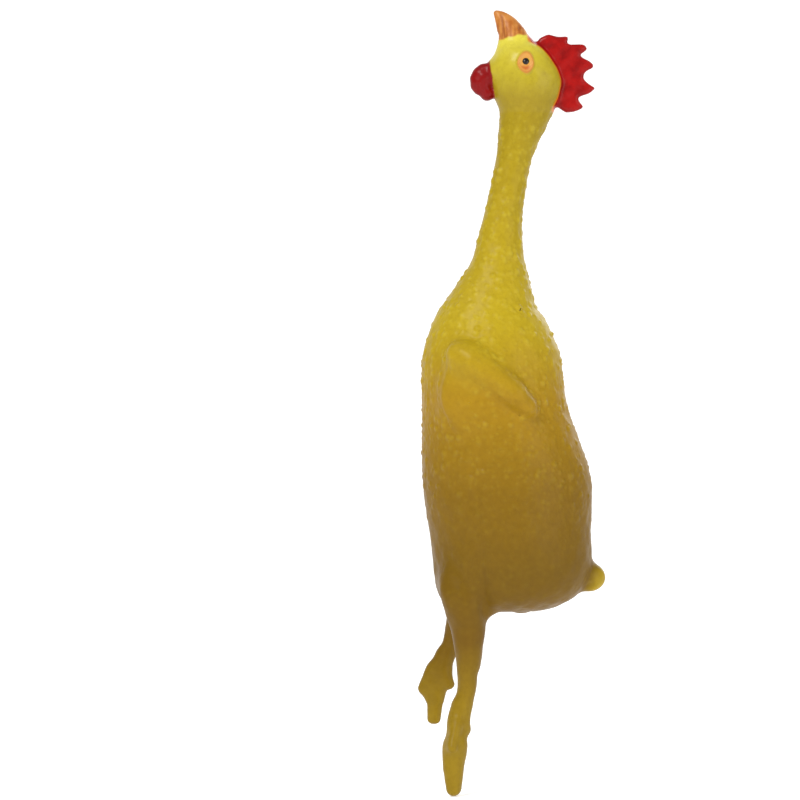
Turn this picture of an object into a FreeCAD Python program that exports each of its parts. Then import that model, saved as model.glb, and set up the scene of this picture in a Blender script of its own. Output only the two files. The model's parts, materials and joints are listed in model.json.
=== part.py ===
"""Stretchy rubber chicken: a hand-held squeeze toy, held upright by the body.

The real toy is one hollow soft-rubber moulding with a soft fill, which went in through a hole
in the underside that a plug closes. Its beak, comb, wattle and eyes are painted. Here moulding
and fill are split at the places where they flex, so that each stretch of them can move.

Frame: millimetres, +Z up the body, breast towards -X, back towards +X, the bird's left side
towards -Y. The origin is the middle of the hand grip, inside the body.
"""

import FreeCAD, Part
import math
import os

from FreeCAD import Matrix, Placement, Rotation, Vector

# ---------------------------------------------------------------- driving dimensions
WALL = 1.6              # thickness of the moulded skin
FILL_GAP = 0.15         # the fill stands this far off the inside of the skin
GAP = 0.3               # room between two pieces that move past each other
SPARE = 1.0             # degrees that a flexing place is cut wider than its travel
FAR = 300.0             # larger than the whole chicken
POINTS_ROUND = 12       # points that the curve round a section passes through

# Body, neck and head as level sections: height, centre x, half width along X, half depth along Y.
TRUNK = [
    (-45.5, -1.0, 13.0, 10.0),
    (-43.0, 0.0, 18.5, 14.5),
    (-38.0, 1.5, 22.0, 18.0),
    (-29.0, 2.0, 23.5, 20.0),
    (-15.0, 1.0, 24.5, 20.5),
    (0.0, -0.5, 24.0, 20.0),
    (14.0, -3.0, 21.5, 19.0),
    (28.0, -4.0, 20.5, 17.5),
    (36.5, -4.5, 18.0, 15.5),
    (43.0, -4.5, 15.0, 13.0),
    (48.5, -3.5, 11.5, 10.5),
    (54.0, -2.5, 9.0, 8.5),
    (58.5, -2.0, 7.5, 7.5),
    (64.5, -1.5, 6.5, 6.5),
    (72.0, -0.5, 5.5, 6.0),
    (79.0, 0.8, 5.2, 5.5),
    (86.0, 2.2, 5.2, 5.5),
    (93.0, 3.8, 5.6, 5.7),
    (99.5, 5.8, 7.0, 6.5),
    (103.0, 6.4, 8.6, 7.4),
    (107.0, 6.5, 10.0, 8.4),
    (110.5, 6.5, 10.4, 8.8),
    (113.5, 5.8, 10.2, 8.7),
    (116.5, 5.0, 9.0, 8.2),
    (120.0, 4.5, 6.8, 6.5),
    (122.0, 3.8, 5.6, 5.0),
]
# Body, neck and head are lofted apart, each over these heights. One loft from end to end swings
# out by several millimetres between its sections, where these stay within a few tenths.
BODY, NECK, HEAD = (-45.5, 54.0), (43.0, 103.0), (86.0, 122.0)

# Legs, from inside the body down to the ankle: centre of a section, half width, half depth.
LEGS = {
    "left": [
        ((-13.0, -9.5, -30.0), 7.0, 6.5),
        ((-12.5, -9.5, -40.0), 7.5, 6.5),
        ((-11.0, -9.0, -48.5), 5.6, 5.2),
        ((-11.1, -8.6, -53.5), 4.5, 4.4),
        ((-10.9, -8.4, -58.0), 4.0, 3.9),
        ((-11.1, -8.3, -62.5), 3.3, 3.4),
        ((-11.8, -8.2, -69.5), 2.7, 2.8),
        ((-13.9, -8.2, -76.0), 2.8, 2.6),
        ((-14.6, -8.2, -80.0), 2.9, 2.6),
    ],
    "right": [
        ((-13.0, 9.0, -34.0), 6.5, 6.0),
        ((-12.8, 9.0, -42.0), 6.0, 5.5),
        ((-13.3, 9.2, -48.0), 4.2, 4.2),
        ((-14.8, 9.6, -53.5), 2.9, 3.0),
        ((-16.4, 10.0, -57.0), 2.4, 2.4),
        ((-17.7, 10.3, -60.0), 2.5, 2.3),
        ((-18.8, 10.6, -63.0), 2.9, 2.3),
        ((-19.8, 10.8, -65.5), 3.2, 2.2),
    ],
}
# Heights at which each leg swings, stretches and bends at the ankle.
LEG_FLEX = {
    "left": {"hip": -52.5, "stretch": -64.0, "ankle": -74.5},
    "right": {"hip": -50.5, "stretch": -55.5, "ankle": -60.5},
}
LEG_BALLS = {"hip": 1.9, "stretch": 1.2, "ankle": 1.1}      # radii of the balls between fills
LEG_BENDS = {"hip": 35, "stretch": 0, "ankle": 30}          # degrees to either side
LEG_CUT = 8.0           # half width of a leg's notches

# Feet: where the foot starts, the way it points, the way its toes spread, and its size. The left
# one is turned so that its toes lie behind each other.
FEET = {
    "left": (Vector(-14.4, -8.2, -78.0), Vector(-0.03, 0, -1), Vector(0.2, 0.98, 0), 1.2),
    "right": (Vector(-19.2, 10.7, -62.8), Vector(-0.05, 0.05, -1), Vector(1, -0.15, 0), 1.0),
}
# A foot of size 1 in its own axes (along the spread, out of its back, down): palm, then toes,
# each as root, tip, radius at the root, radius at the tip. Each foot's side toes are its own.
PALM_AT = (-1.2, 0.0, 4.4)
PALM_HALF = {"left": (3.2, 2.75, 4.8), "right": (3.1, 1.9, 4.8)}
LONG_TOES = {
    "middle_toe": ((-3.5, -0.9, 6.0), (-1.9, 0.2, 16.1), 1.5, 0.9),
    "inner_toe": ((-0.6, -0.9, 6.0), (0.1, 0.2, 15.9), 1.5, 0.9),
}
SIDE_TOES = {
    "left": {
        "outer_toe": ((-3.0, 0.0, 2.2), (-5.0, 0.0, 5.7), 1.3, 1.0),
        "hind_toe": ((0.5, 1.3, 1.2), (0.8, 2.6, 1.6), 1.1, 0.5),
    },
    "right": {
        "outer_toe": ((-3.2, 0.0, 2.4), (-5.4, 0.0, 7.0), 1.3, 1.05),
        "hind_toe": ((1.4, 0.8, 3.4), (3.8, 1.8, 4.9), 2.0, 1.15),
    },
}
TOE_CURL = (-1.7, -0.5, 8.2)    # where a foot's two long toes curl, in the foot's own axes
TOE_BEND, TOE_CUT = 25, 3.2     # degrees to either side, and half width of the notch
TOES_APART = 0.1        # slit between the two long toes, which are joined on the real toy

COMB_DEPTH = 2.8        # thickness of the comb, side to side
COMB_TIPS = [           # points of the comb from the crown down, each followed by its notch
    (18.1, 123.8), (18.1, 121.4), (23.6, 120.6), (22.0, 118.1), (25.8, 115.4),
    (23.0, 112.0), (26.7, 108.0), (21.5, 105.8), (22.2, 102.0),
]
COMB_CROWN = [(9.4, 121.5), (12.4, 124.5), (14.7, 123.7)]
COMB_FOOT = [(17.9, 101.2), (13.0, 102.5), (8.0, 112.0)]
COMB_HINGE = ((10.5, 121.0), (15.2, 104.0))
COMB_SWING, WATTLE_SWING = 22.0, 20.0       # degrees to either side

BEAK = [                # centre x and z of a section, half height, half width
    ((3.2, 120.0), 5.6, 4.6),
    ((2.6, 122.4), 4.7, 3.9),
    ((1.4, 125.6), 3.7, 3.1),
    ((-0.4, 129.0), 2.1, 1.8),
    ((-2.3, 131.1), 0.5, 0.5),
]
MOUTH = [(-2.3, 133.0), (-1.3, 127.0), (-0.2, 122.5), (0.4, 116.0)]  # parts the two beaks
WATTLE = [              # sections of the wattle from its top down: centre, half width, half depth
    ((-4.4, 0.0, 114.9), 0.8, 1.0),
    ((-6.0, 0.0, 113.2), 2.4, 2.4),
    ((-6.9, 0.0, 110.8), 3.3, 2.9),
    ((-6.1, 0.0, 108.0), 2.7, 2.7),
    ((-5.3, 0.0, 106.0), 1.9, 2.0),
    ((-4.8, 0.0, 104.8), 0.8, 0.9),
]
WATTLE_ROOT = Vector(-3.6, 0, 110.4)
EYE = (5.75, 115.2)     # x and z of the eyes
EYE_RING_HALF = (2.65, 3.5)    # half sizes of the raised ring along X and Z
PUPIL = 1.0             # radius of the pupil
EYE_PROUD = 0.6         # how far the eye stands off the head
EYE_DEEP = 20.0         # an eye is cut from a block that reaches this far out to its side

TAIL_ROOT, TAIL_SWING = Vector(22.0, 0, -34.0), 20.0
TAIL_AT, TAIL_HALF, TAIL_TILT = Vector(24.8, 0, -35.2), (5.0, 4.2, 4.6), 28.0

# Left wing: sections along its raised arm as centre and radius, from elbow to tip.
WING = [
    (Vector(-15.9, -13.2, 31.9), 1.4),
    (Vector(-13.6, -14.4, 30.0), 3.9),
    (Vector(-9.8, -16.0, 27.4), 3.3),
    (Vector(-4.5, -17.6, 23.6), 2.4),
    (Vector(1.5, -18.4, 18.6), 2.3),
    (Vector(6.2, -18.1, 14.0), 1.9),
    (Vector(7.6, -17.8, 12.6), 0.7),
]

PLUG_AT = (4.7, 0.0)    # x and y of the filling hole
PLUG_HEAD, PLUG_STEM = 3.2, 2.2     # radii of the plug's outer disc and of its stem
PLUG_PROUD, PLUG_SEAT = 0.7, 0.8    # the disc stands out this far, and is sunk this far

# Side panels of the body that a squeeze presses in.
FLANK_EDGE = 10.6       # half depth at which the opening in the body's side starts
FLANK_WEB = 3.2         # width of the flexing web round a side panel
FLANK_LOW, FLANK_HIGH = -30.0, 37.5

X_WAY, Y_WAY, Z_WAY = Vector(1, 0, 0), Vector(0, 1, 0), Vector(0, 0, 1)

# Flexing places of the neck: height, axis, degrees to either side, half width that is cut, and
# the radius of the ball between the fills.
NECK_FLEX = {
    "neck_bend": (49.5, Y_WAY, 35, 16.0, 5.0),
    "neck_stretch": (63.0, Y_WAY, 0, 12.0, 2.6),
    "neck_sway": (76.0, X_WAY, 35, 9.0, 2.2),
    "neck_twist": (85.0, Y_WAY, 0, 9.0, 2.0),
    "head_nod": (95.5, Y_WAY, 30, 10.0, 2.6),
}


# ---------------------------------------------------------------- places on the object
def trunk_centre(z):
    """Point on the trunk's centre line at height z."""
    for (low, x_low, _, _), (high, x_high, _, _) in zip(TRUNK, TRUNK[1:]):
        if low <= z <= high:
            return Vector(x_low + (x_high - x_low) * (z - low) / (high - low), 0, z)
    raise ValueError(z)


def trunk_way(z, reach=6.0):
    """Unit vector up the trunk's centre line at height z."""
    return (trunk_centre(z + reach) - trunk_centre(z - reach)).normalize()


def leg_place(side, z):
    """Point on a leg's centre line at height z, and the unit vector down the leg there."""
    sections = LEGS[side]
    for (high, _, _), (low, _, _) in zip(sections, sections[1:]):
        if low[2] <= z <= high[2]:
            above, below = Vector(*high), Vector(*low)
            return above + (below - above) * ((above.z - z) / (above.z - below.z)), (
                below - above
            ).normalize()
    raise ValueError(z)


def foot_axes(side):
    """A foot's start, its spread, back and downward unit vectors, and its size."""
    start, way, spread, size = FEET[side]
    down = Vector(way).normalize()
    across = (spread - down * spread.dot(down)).normalize()
    return start, across, down.cross(across).normalize(), down, size


def on_foot(side, place):
    """A place given in a foot's own axes, as a point in the chicken's frame."""
    start, across, back, down, size = foot_axes(side)
    return start + (across * place[0] + back * place[1] + down * place[2]) * size


def flex(pivot, way, axis, degrees, width, ball_radius=0.0):
    """A place that flexes. The child lies along way; width is the half width that is cut.

    degrees is 0 where the two sides slide apart or twist, which needs only a thin slot.
    """
    return {
        "pivot": pivot, "way": way, "axis": axis, "degrees": degrees,
        "width": width, "ball": ball_radius,
    }


def make_flexes():
    """Every flexing place that cuts a stretch of the moulding in two, by name."""
    flexes = {
        name: flex(trunk_centre(height), trunk_way(height), axis, degrees, width, radius)
        for name, (height, axis, degrees, width, radius) in NECK_FLEX.items()
    }
    for side, heights in LEG_FLEX.items():
        for name, height in heights.items():
            place, way = leg_place(side, height)
            bend, radius = LEG_BENDS[name], LEG_BALLS[name]
            flexes[f"{side}_{name}"] = flex(place, way, Y_WAY, bend, LEG_CUT, radius)
        _, across, _, down, size = foot_axes(side)
        curl = on_foot(side, TOE_CURL)
        flexes[f"{side}_toes"] = flex(curl, down, across, TOE_BEND, TOE_CUT * size)
    return flexes


# ---------------------------------------------------------------- shape helpers
def oval(centre, half_u, half_v, u_way, v_way):
    """A smooth closed wire round an oval section."""
    turns = [2 * math.pi * i / POINTS_ROUND for i in range(POINTS_ROUND)]
    points = [
        centre + u_way * (half_u * math.cos(t)) + v_way * (half_v * math.sin(t)) for t in turns
    ]
    curve = Part.BSplineCurve()
    curve.interpolate(points, PeriodicFlag=True)
    return Part.Wire([curve.toShape()])


def trunk(stretch, grow=0.0, closed=False):
    """One stretch of the trunk as a solid, with every section larger by grow all round.

    A closed one stops a section short of the trunk's own two ends, to leave a wall there.
    """
    low, high = stretch
    if closed:
        low, high = max(low, TRUNK[1][0]), min(high, TRUNK[-2][0])
    wires = [
        oval(Vector(x, 0, z), half + grow, depth + grow, X_WAY, Y_WAY)
        for z, x, half, depth in TRUNK
        if low <= z <= high
    ]
    return Part.makeLoft(wires, True, False, False)


def limb(sections):
    """A solid lofted along sections, each a centre, a half width and a half depth along Y."""
    wires = []
    for i, (centre, half_width, half_depth) in enumerate(sections):
        before = Vector(*sections[max(i - 1, 0)][0])
        after = Vector(*sections[min(i + 1, len(sections) - 1)][0])
        way = (after - before).normalize()
        depth_way = (Y_WAY - way * way.dot(Y_WAY)).normalize()
        wires.append(
            oval(Vector(*centre), half_width, half_depth, depth_way.cross(way), depth_way)
        )
    return Part.makeLoft(wires, True, False, False)


def ellipsoid(half, place):
    stretch = Matrix()
    stretch.scale(*half)
    shape = Part.makeSphere(1.0).transformGeometry(stretch)
    shape.Placement = place
    return shape


def facing(base, way, across):
    """Placement at base whose +Z runs along way, and whose +Y runs as nearly as it can across."""
    side = across.cross(way).normalize()
    square = way.cross(side).normalize()
    place = Placement(
        Matrix(
            side.x, square.x, way.x, 0, side.y, square.y, way.y, 0,
            side.z, square.z, way.z, 0, 0, 0, 0, 1,
        )
    )
    place.Base = base
    return place


def far_side(place, child=True):
    """Everything on the child's side of a flexing place, or else on its parent's side."""
    half = Part.makeBox(FAR, FAR, FAR, Vector(-FAR / 2, -FAR / 2, 0 if child else -FAR))
    half.Placement = facing(place["pivot"], place["way"], place["axis"])
    return half


def notch(place):
    """Room for a flexing place to travel: a bow tie in section, or a slot where it doesn't bend."""
    width, slot = place["width"], GAP / 2
    rise = 0.0
    if place["degrees"]:
        rise = width * math.tan(math.radians(place["degrees"] / 2 + SPARE))
    edge = [
        Vector(-width, 0, -slot - rise), Vector(0, 0, -slot), Vector(width, 0, -slot - rise),
        Vector(width, 0, slot + rise), Vector(0, 0, slot), Vector(-width, 0, slot + rise),
    ]
    shape = Part.Face(Part.makePolygon([*edge, edge[0]])).extrude(Y_WAY * (4 * width))
    shape.translate(Y_WAY * (-2 * width))
    place = facing(place["pivot"], place["way"], place["axis"])
    shape.Placement = place.multiply(shape.Placement)
    return shape


def ball(place, grow=0.0):
    return Part.makeSphere(place["ball"] + grow, place["pivot"])


def parent_end(shape, place, core=True):
    """A shape cut off at a flexing place, on the parent's side. A core gets a socket."""
    shape = shape.common(far_side(place, child=False)).cut(notch(place))
    return shape.cut(ball(place, GAP)) if core and place["ball"] else shape


def child_end(shape, place, core=True):
    """A shape cut off at a flexing place, on the child's side. A core gets a ball."""
    shape = shape.common(far_side(place)).cut(notch(place))
    return shape.fuse(ball(place)) if core and place["ball"] else shape


def round_cone(start, end, start_radius, end_radius):
    """A tapered limb with round ends."""
    line = end - start
    cone = Part.makeCone(start_radius, end_radius, line.Length, start, line)
    return cone.fuse([Part.makeSphere(start_radius, start), Part.makeSphere(end_radius, end)])


def turned(shape, base, axis, degrees):
    copy = shape.copy()
    copy.rotate(base, axis, degrees)
    return copy


def right_hand(shape):
    """The same shape on the bird's right side."""
    return shape.mirror(Vector(0, 0, 0), Y_WAY)


def side_block(edge, low, high):
    """Everything further to the bird's left than edge, between two heights."""
    return Part.makeBox(FAR, FAR / 2 - edge, high - low, Vector(-FAR / 2, -FAR / 2, low))


# ---------------------------------------------------------------- sub-parts
def make_trunk_pieces(flexes):
    """Skins and fills of the body, the four stretches of neck, and the head."""
    shapes = {
        stretch: (
            trunk(stretch).cut(trunk(stretch, -WALL, closed=True)),
            trunk(stretch, -WALL - FILL_GAP, closed=True),
        )
        for stretch in (BODY, NECK, HEAD)
    }
    chain = [
        ("torso", BODY, None, "neck_bend"),
        ("neck_lower", NECK, "neck_bend", "neck_stretch"),
        ("neck_middle", NECK, "neck_stretch", "neck_sway"),
        ("neck_upper", NECK, "neck_sway", "neck_twist"),
        ("neck_top", NECK, "neck_twist", "head_nod"),
        ("head", HEAD, "head_nod", None),
    ]
    nodes = {}
    for name, stretch, low, high in chain:
        skin, fill = shapes[stretch]
        for kind, whole, core in (("skin", skin, False), ("fill", fill, True)):
            piece = whole
            if high:
                piece = parent_end(piece, flexes[high], core)
            if low:
                piece = child_end(piece, flexes[low], core)
            nodes[f"{name}_{kind}"] = piece
    return nodes


def make_plug():
    """The plug: a disc seated in the underside, and the stem that fills the hole."""
    x, y = PLUG_AT
    bottom = TRUNK[0][0]
    disc = Part.makeCylinder(PLUG_HEAD, PLUG_PROUD + PLUG_SEAT, Vector(x, y, bottom - PLUG_PROUD))
    stem = Part.makeCylinder(PLUG_STEM, TRUNK[1][0] - bottom, Vector(x, y, bottom))
    return disc.fuse(stem).removeSplitter()


def split_flanks(skin):
    """The body's skin with both sides opened, and the two side panels cut out of it."""
    window = side_block(FLANK_EDGE, FLANK_LOW, FLANK_HIGH)
    panel = side_block(FLANK_EDGE + FLANK_WEB, FLANK_LOW + FLANK_WEB, FLANK_HIGH - FLANK_WEB)
    frame = skin.cut([window, right_hand(window)])
    return frame, skin.common(panel), skin.common(right_hand(panel))


def make_wing(body):
    """The left wing: the raised arm that lies on the side of the body."""
    return limb([(centre, radius, radius) for centre, radius in WING]).cut(body)


def make_tail(clear):
    """The tail nub, kept clear of the body over its wag up and down."""
    lobe = ellipsoid(TAIL_HALF, Placement(TAIL_AT, Rotation(Y_WAY, TAIL_TILT)))
    for degrees in (-TAIL_SWING, 0, TAIL_SWING):
        lobe = lobe.cut(turned(clear, TAIL_ROOT, Y_WAY, degrees))
    return lobe


def make_leg(side, body, flexes):
    """One leg: the thigh on the body, the upper leg, the lower leg, the foot and its toes."""
    leg = limb(LEGS[side])
    hip, stretch, ankle, curl = (
        flexes[f"{side}_{name}"] for name in ("hip", "stretch", "ankle", "toes")
    )
    nodes = {
        f"{side}_thigh": parent_end(leg.cut(body), hip),
        f"{side}_upper_leg": parent_end(child_end(leg, hip), stretch),
        f"{side}_lower_leg": parent_end(child_end(leg, stretch), ankle),
    }
    nodes.update(make_foot(side, child_end(leg, ankle), curl))
    return nodes


def make_foot(side, heel, curl):
    """A foot: the palm joined to the heel, two fixed toes, and two long toes that curl."""
    _, across, back, down, size = foot_axes(side)
    place = facing(on_foot(side, PALM_AT), down, back)
    palm = ellipsoid([half * size for half in PALM_HALF[side]], place)
    palm = parent_end(palm.fuse(heel), curl)
    toes = {
        name: round_cone(on_foot(side, root), on_foot(side, tip), wide * size, narrow * size)
        for name, (root, tip, wide, narrow) in {**LONG_TOES, **SIDE_TOES[side]}.items()
    }
    root, tip = (
        sum((on_foot(side, toe[end]) for toe in LONG_TOES.values()), Vector()) / len(LONG_TOES)
        for end in (0, 1)
    )
    slit_way = (tip - root).normalize()
    apart = (across - slit_way * across.dot(slit_way)).normalize()
    nodes = {}
    for name in LONG_TOES:
        way = apart if name == "inner_toe" else apart * -1
        edge = flex(root + way * (TOES_APART / 2), way, slit_way, 0, 0)
        nodes[f"{side}_{name}"] = child_end(toes[name], curl).common(far_side(edge))
        palm = palm.fuse(parent_end(toes[name], curl))
    for name in SIDE_TOES[side]:
        nodes[f"{side}_{name}"] = toes[name].cut(palm)
    nodes[f"{side}_foot"] = palm
    return nodes


def make_comb(clear):
    """The comb: a toothed plate, kept clear of the head over its whole swing to either side."""
    outline = [Vector(x, -COMB_DEPTH / 2, z) for x, z in COMB_CROWN + COMB_TIPS + COMB_FOOT]
    plate = Part.Face(Part.makePolygon([*outline, outline[0]])).extrude(Y_WAY * COMB_DEPTH)
    low, high = (Vector(x, 0, z) for x, z in COMB_HINGE)
    for degrees in (-COMB_SWING, -COMB_SWING / 2, 0, COMB_SWING / 2, COMB_SWING):
        plate = plate.cut(turned(clear, low, high - low, degrees))
    return plate


def make_wattle(clear):
    """The wattle under the chin, kept clear of the head over its swing to either side."""
    lobe = limb(WATTLE)
    for degrees in (-WATTLE_SWING, WATTLE_SWING):
        lobe = lobe.cut(turned(clear, WATTLE_ROOT, Z_WAY, degrees))
    return lobe


def make_beak(head):
    """The upper and the lower beak, parted along the mouth."""
    wires = []
    for i, ((x, z), half_high, half_wide) in enumerate(BEAK):
        before, after = BEAK[max(i - 1, 0)][0], BEAK[min(i + 1, len(BEAK) - 1)][0]
        way = Vector(after[0] - before[0], 0, after[1] - before[1]).normalize()
        wires.append(oval(Vector(x, 0, z), half_high, half_wide, Y_WAY.cross(way), Y_WAY))
    whole = Part.makeLoft(wires, True, False, False).cut(head)
    edge = [Vector(x, -FAR / 2, z) for x, z in MOUTH]
    edge += [Vector(-FAR, -FAR / 2, MOUTH[-1][1]), Vector(-FAR, -FAR / 2, MOUTH[0][1])]
    front = Part.Face(Part.makePolygon([*edge, edge[0]])).extrude(Y_WAY * FAR)
    return whole.cut(front), whole.common(front)


def make_eye(head):
    """The left eye: a raised oval ring, and the pupil in the middle of it."""
    x, z = EYE
    half_x, half_z = EYE_RING_HALF
    rim = oval(Vector(x, 0, z), half_x, half_z, X_WAY, Z_WAY)
    reach = Part.Face(rim).extrude(Y_WAY * -EYE_DEEP)
    raised = trunk(HEAD, EYE_PROUD).common(reach).cut(head)
    middle = Part.makeCylinder(PUPIL, EYE_DEEP, Vector(x, 0, z), Y_WAY * -1)
    return raised.cut(middle), raised.common(middle)


def build():
    """Every sub-part by node name."""
    flexes = make_flexes()
    body, head, head_clear = trunk(BODY), trunk(HEAD), trunk(HEAD, GAP)
    nodes = make_trunk_pieces(flexes)

    plug = make_plug()
    nodes["torso_skin"] = nodes["torso_skin"].cut(plug)
    nodes["fill_plug"] = plug
    nodes["torso_skin"], nodes["left_flank"], nodes["right_flank"] = split_flanks(
        nodes["torso_skin"]
    )
    nodes["tail"] = make_tail(trunk(BODY, GAP))
    for side in LEGS:
        nodes.update(make_leg(side, body, flexes))

    nodes["comb"] = make_comb(head_clear)
    nodes["wattle"] = make_wattle(head_clear)
    nodes["upper_beak"], nodes["lower_beak"] = make_beak(head)
    nodes["left_wing"] = make_wing(body)
    nodes["left_eye_ring"], nodes["left_pupil"] = make_eye(head)
    for name in ("wing", "eye_ring", "pupil"):
        nodes[f"right_{name}"] = right_hand(nodes[f"left_{name}"])
    return nodes


def main():
    os.makedirs("parts", exist_ok=True)
    for name, shape in build().items():
        note = "" if shape.isValid() else "  NOT VALID"
        print(f"{name}: {len(shape.Solids)} solids, {shape.Volume:.1f} mm3{note}")
        shape.exportStep(f"parts/{name}.step")


if __name__ == "__main__":
    main()
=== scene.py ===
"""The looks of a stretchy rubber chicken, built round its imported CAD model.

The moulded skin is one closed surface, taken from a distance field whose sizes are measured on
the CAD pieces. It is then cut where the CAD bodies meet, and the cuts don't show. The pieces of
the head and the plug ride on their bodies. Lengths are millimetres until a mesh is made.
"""

import json
import math

import bpy
import numpy as np
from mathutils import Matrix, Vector

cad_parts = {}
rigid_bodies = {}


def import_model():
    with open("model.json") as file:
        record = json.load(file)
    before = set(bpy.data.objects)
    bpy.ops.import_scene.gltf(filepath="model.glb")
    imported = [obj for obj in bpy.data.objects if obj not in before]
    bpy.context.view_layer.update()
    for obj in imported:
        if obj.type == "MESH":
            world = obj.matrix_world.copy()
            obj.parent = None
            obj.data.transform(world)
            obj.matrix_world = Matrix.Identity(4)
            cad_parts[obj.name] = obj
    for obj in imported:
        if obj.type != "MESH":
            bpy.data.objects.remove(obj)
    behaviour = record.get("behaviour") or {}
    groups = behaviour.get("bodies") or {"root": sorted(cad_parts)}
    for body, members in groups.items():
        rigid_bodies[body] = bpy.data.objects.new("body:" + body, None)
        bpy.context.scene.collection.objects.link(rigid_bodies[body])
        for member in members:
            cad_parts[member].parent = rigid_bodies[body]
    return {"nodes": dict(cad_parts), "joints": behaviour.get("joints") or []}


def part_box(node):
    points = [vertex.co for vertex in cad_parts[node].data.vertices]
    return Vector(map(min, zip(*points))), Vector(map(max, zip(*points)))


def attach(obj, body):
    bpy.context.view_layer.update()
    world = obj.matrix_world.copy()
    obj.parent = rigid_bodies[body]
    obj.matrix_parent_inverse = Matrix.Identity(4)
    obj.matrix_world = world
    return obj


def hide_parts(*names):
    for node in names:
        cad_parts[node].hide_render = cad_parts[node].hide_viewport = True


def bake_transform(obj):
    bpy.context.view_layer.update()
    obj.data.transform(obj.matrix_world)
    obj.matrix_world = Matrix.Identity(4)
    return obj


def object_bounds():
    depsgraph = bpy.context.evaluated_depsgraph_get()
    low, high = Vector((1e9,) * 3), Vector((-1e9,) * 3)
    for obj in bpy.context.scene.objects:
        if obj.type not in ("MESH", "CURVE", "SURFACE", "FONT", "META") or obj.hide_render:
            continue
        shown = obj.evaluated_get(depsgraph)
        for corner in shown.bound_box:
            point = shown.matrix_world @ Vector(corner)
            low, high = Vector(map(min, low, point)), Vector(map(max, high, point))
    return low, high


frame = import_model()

cad_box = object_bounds()

MM = 0.001                 # metres in a millimetre
STEP = 0.42                # spacing of the grid that the surface is taken from
SEED = 7
SIDES = {"left": -1, "right": 1}

JOINTS = {joint["name"]: joint for joint in frame["joints"]}


# ---------------------------------------------------------------- measuring the CAD pieces
def joint_place(name):
    return np.array(JOINTS[name]["pos_m"]) / MM


def box(node):
    low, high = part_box(node)
    return np.array(low) / MM, np.array(high) / MM


def middle(node):
    low, high = box(node)
    return (low + high) / 2


def node_points(node):
    mesh = frame["nodes"][node].data
    co = np.empty(len(mesh.vertices) * 3)
    mesh.vertices.foreach_get("co", co)
    return co.reshape(-1, 3) / MM


def node_edges(nodes):
    """Both ends of every mesh edge of these CAD nodes."""
    ends = []
    for node in nodes:
        mesh = frame["nodes"][node].data
        index = np.empty(len(mesh.edges) * 2, np.int32)
        mesh.edges.foreach_get("vertices", index)
        ends.append(node_points(node)[index.reshape(-1, 2)])
    return np.concatenate(ends)


class Chain:
    """Oval level sections up a stretch of the object, measured on CAD nodes and smoothed."""

    def __init__(self, nodes, skipped, blur=1.2, pitch=0.8):
        edges = node_edges(nodes)
        low, high = edges[..., 2].min(), edges[..., 2].max()
        rows = []
        for z in np.arange(low + 0.1, high - 0.05, pitch):
            if any(abs(z - at) < room for at, room in skipped):
                continue
            start, end = edges[:, 0], edges[:, 1]
            cut = (start[:, 2] - z) * (end[:, 2] - z) < 0
            if cut.sum() < 6:
                continue
            start, end = start[cut], end[cut]
            share = ((z - start[:, 2]) / (end[:, 2] - start[:, 2]))[:, None]
            points = (start + (end - start) * share)[:, :2]
            across, through = points.T
            rows.append([
                z, (across.max() + across.min()) / 2, (across.max() - across.min()) / 2,
                (through.max() + through.min()) / 2, (through.max() - through.min()) / 2,
            ])
        rows = np.array(rows)
        self.low, self.high = low, high
        self.z = np.arange(low - 6, high + 6, 0.25)
        near = np.arange(-4 * blur, 4 * blur + 0.25, 0.25)
        weight = np.exp(-0.5 * (near / blur) ** 2)
        weight /= weight.sum()
        self.columns = []
        for column in rows.T[1:]:
            values = np.interp(self.z, rows[:, 0], column)
            padded = np.pad(values, len(near) // 2, mode="edge")
            self.columns.append(np.convolve(padded, weight, mode="valid")[: len(self.z)])

    def at(self, z):
        """Centre and half size along X, then centre and half size along Y, at heights z."""
        return [np.interp(z, self.z, column) for column in self.columns]

    def distance(self, p, bottom=1.5, top=1.5):
        cu, hu, cv, hv = self.at(p[..., 2])
        across = (p[..., 0] - cu) / hu
        through = (p[..., 1] - cv) / hv
        size = np.sqrt(across**2 + through**2) + 1e-6
        slope = np.sqrt((across / hu) ** 2 + (through / hv) ** 2) + 1e-6
        d = size * (size - 1) / slope
        d = soft_max(d, self.low - p[..., 2], bottom)
        return soft_max(d, p[..., 2] - self.high, top)


# ---------------------------------------------------------------- distance fields
def soft_min(a, b, k):
    """The lower of two fields, with a fillet about k wide where they meet."""
    h = np.clip(k - np.abs(a - b), 0, None) / k
    return np.minimum(a, b) - h * h * k * 0.25


def soft_max(a, b, k):
    return -soft_min(-a, -b, k)


def ellipsoid(p, centre, half, turn=0.0):
    """turn is in radians, from +X towards -Z."""
    q = p - centre
    x = q[..., 0] * math.cos(turn) - q[..., 2] * math.sin(turn)
    z = q[..., 0] * math.sin(turn) + q[..., 2] * math.cos(turn)
    x, y, z = x / half[0], q[..., 1] / half[1], z / half[2]
    size = np.sqrt(x * x + y * y + z * z) + 1e-6
    slope = np.sqrt((x / half[0]) ** 2 + (y / half[1]) ** 2 + (z / half[2]) ** 2) + 1e-6
    return size * (size - 1) / slope


def limb(p, start, end, start_radius, end_radius):
    line = end - start
    t = np.clip(((p - start) @ line) / (line @ line), 0, 1)
    nearest = start + t[..., None] * line
    return np.linalg.norm(p - nearest, axis=-1) - (start_radius + t * (end_radius - start_radius))


def tube(p, stations, depth):
    """A bent limb through (place, radius) stations, flattened in Y to this share."""
    flat = np.array([1.0, 1.0 / depth, 1.0])
    reach = [
        limb(p * flat, start * flat, end * flat, start_radius, end_radius)
        for (start, start_radius), (end, end_radius) in zip(stations, stations[1:])
    ]
    return np.minimum.reduce(reach)


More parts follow.
